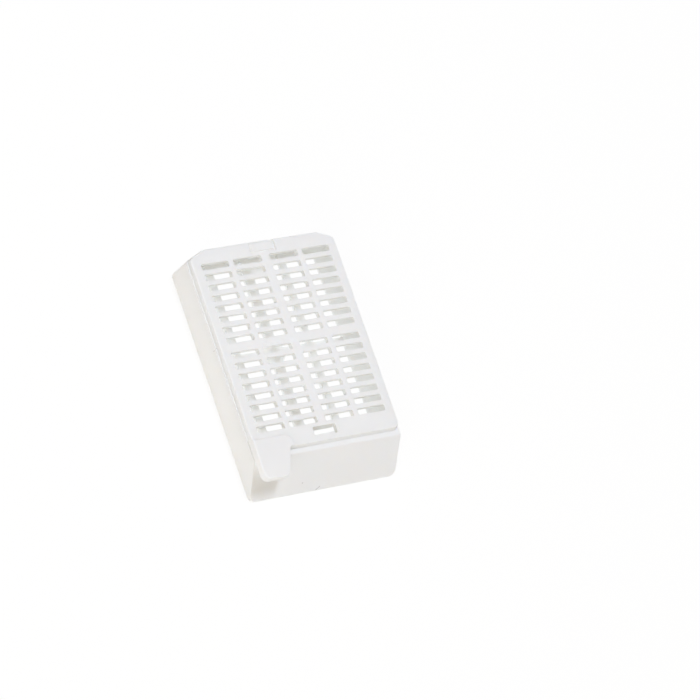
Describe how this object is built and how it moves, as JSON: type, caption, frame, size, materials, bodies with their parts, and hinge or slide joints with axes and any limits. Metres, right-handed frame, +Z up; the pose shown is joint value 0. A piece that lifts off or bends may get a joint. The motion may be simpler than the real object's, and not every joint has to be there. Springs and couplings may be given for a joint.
{
  "type": "tissue cassette",
  "caption": "Flat slotted box of white plastic with a hinged, latched lid, a thumb tab and a bare sloped writing face, which holds tissue for processing.",
  "frame": {"origin": "underneath the closed cassette, in the middle of its length and width", "axes": "+Z up through the lid, +Y from the writing face towards the hinge, +X across, away from the thumb tab"},
  "size_m": [0.0284, 0.0408, 0.0067],
  "materials": {
    "base": "satin moulded white acetal",
    "lid": "satin moulded white acetal"
  },
  "bodies": {
    "base": {"base": "base"},
    "lid": {"lid": "lid"}
  },
  "joints": [
    {"name": "lid_hinge", "type": "hinge", "parent": "base", "child": "lid", "pos_m": [0, 0.02028, 0.0053], "axis": [-1, 0, 0], "range_deg": [0, 180]}
  ]
}
